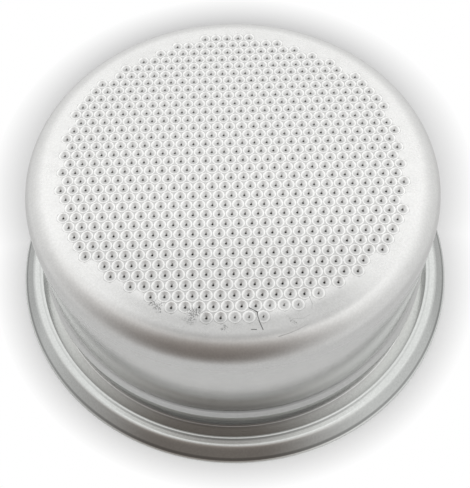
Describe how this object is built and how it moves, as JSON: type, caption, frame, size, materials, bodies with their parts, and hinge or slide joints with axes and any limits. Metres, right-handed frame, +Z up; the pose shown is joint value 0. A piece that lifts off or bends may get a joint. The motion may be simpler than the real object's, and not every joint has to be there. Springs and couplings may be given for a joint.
{
  "type": "espresso filter basket",
  "caption": "Pressed stainless espresso filter basket: a straight cup with a finely perforated floor, a retaining bead and a rolled rim flange.",
  "frame": {"origin": "centre of the rim, on the surface that the rim stands on", "axes": "+Z up out of the perforated floor, along the cup's axis; +X along a row of holes"},
  "size_m": [0.07, 0.07, 0.026],
  "materials": {
    "stainless": "satin"
  },
  "bodies": {
    "root": {"filter_basket": "stainless"}
  },
  "joints": []
}
